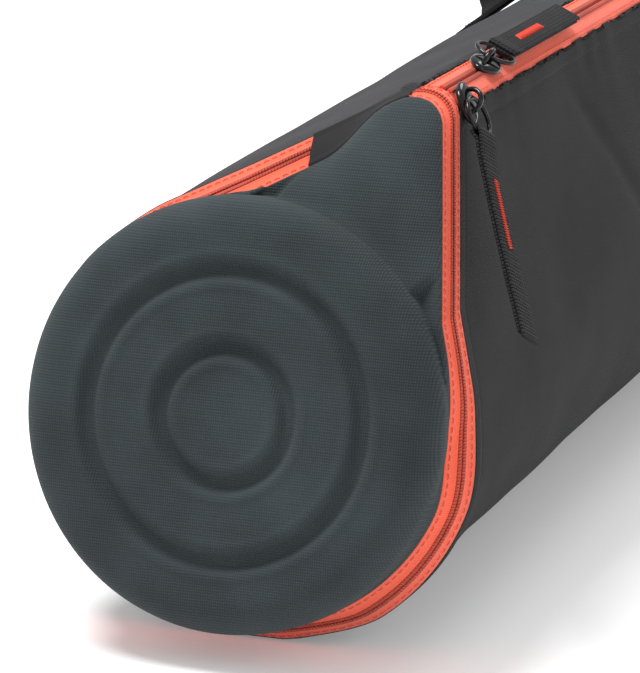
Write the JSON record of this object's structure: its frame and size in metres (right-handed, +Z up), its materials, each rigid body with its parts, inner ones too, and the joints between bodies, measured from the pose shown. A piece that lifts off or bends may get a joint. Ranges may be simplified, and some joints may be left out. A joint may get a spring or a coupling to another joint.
{
  "type": "telescope carry case",
  "caption": "Padded fabric tube case with a zipped, moulded end cap, a lengthwise ridge zip, webbing zip pulls, a grab handle and strap rings.",
  "frame": {"origin": "middle of the flattened belly, on the ground", "axes": "+Y runs from the zipped end cap to the tail, +Z up, +X to the side that carries the zip ridge"},
  "size_m": [0.2081, 0.8381, 0.2136],
  "materials": {
    "charcoal_fabric": "matte",
    "cap_fabric": "matte",
    "padding_foam": "matte",
    "lining_fabric": "satin",
    "red_zip": "satin",
    "black_webbing": "satin",
    "black_metal": "gloss",
    "hoop_plastic": "matte"
  },
  "bodies": {
    "case": {"outer_shell": "charcoal_fabric", "foam_padding": "padding_foam", "inner_lining": "lining_fabric", "mouth_zip_tape": "red_zip", "mouth_zip_coil": "red_zip", "mouth_hoop": "hoop_plastic", "hinge_gusset_rear": "charcoal_fabric", "long_zip_tape_top": "red_zip", "long_zip_tape_side": "red_zip", "long_zip_coil_top": "red_zip", "long_zip_coil_side": "red_zip", "zip_end_patch": "black_webbing", "tail_cap_shell": "cap_fabric", "tail_foam_pad": "padding_foam", "tail_piping": "hoop_plastic", "handle_webbing": "black_webbing", "handle_grip": "padding_foam", "handle_anchor_patches": "black_webbing", "front_ring_tab": "black_webbing", "rear_ring_tab": "black_webbing"},
    "end_cap": {"cap_shell": "cap_fabric", "cap_foam_pad": "padding_foam", "cap_lining": "lining_fabric", "cap_zip_tape": "red_zip", "cap_zip_coil": "red_zip", "hinge_gusset_front": "cap_fabric"},
    "slider_a": {"slider_a_plate": "black_metal", "slider_a_bail": "black_metal"},
    "slider_b": {"slider_b_plate": "black_metal", "slider_b_bail": "black_metal"},
    "pull_a": {"pull_a_ring": "black_metal", "pull_a_webbing": "black_webbing", "pull_a_bar_tack": "red_zip"},
    "pull_b": {"pull_b_ring": "black_metal", "pull_b_webbing": "black_webbing", "pull_b_bar_tack": "red_zip"},
    "front_ring": {"front_d_ring": "black_metal"},
    "rear_ring": {"rear_d_ring": "black_metal"}
  },
  "joints": [
    {"name": "cap_hinge", "type": "hinge", "parent": "case", "child": "end_cap", "pos_m": [0.02118, -0.34482, 0.19684], "axis": [-0.7413, -0.5704, -0.3537], "range_deg": [0, 100]},
    {"name": "slider_a_travel", "type": "slide", "parent": "case", "child": "slider_a", "axis": [-0.0157, 0.9987, -0.0479], "range_m": [0, 0.022]},
    {"name": "slider_b_travel", "type": "slide", "parent": "case", "child": "slider_b", "axis": [-0.0157, 0.9987, -0.0479], "range_m": [0, 0.44]},
    {"name": "pull_a_swing", "type": "hinge", "parent": "slider_a", "child": "pull_a", "pos_m": [0.06711, -0.3098, 0.20402], "axis": [-0.1245, -0.8386, 0.5302], "range_deg": [0, 110]},
    {"name": "pull_b_swing", "type": "hinge", "parent": "slider_b", "child": "pull_b", "pos_m": [0.05774, -0.26373, 0.20981], "axis": [0.9063, -0.006, -0.4227], "range_deg": [0, 120]},
    {"name": "front_ring_swing", "type": "hinge", "parent": "case", "child": "front_ring", "pos_m": [-0.09218, -0.29394, 0.07836], "axis": [-0.0872, 0.0142, 0.9961], "range_deg": [0, 120]},
    {"name": "rear_ring_swing", "type": "hinge", "parent": "case", "child": "rear_ring", "pos_m": [-0.08409, 0.27406, 0.07096], "axis": [-0.0872, 0.0142, 0.9961], "range_deg": [0, 120]}
  ]
}
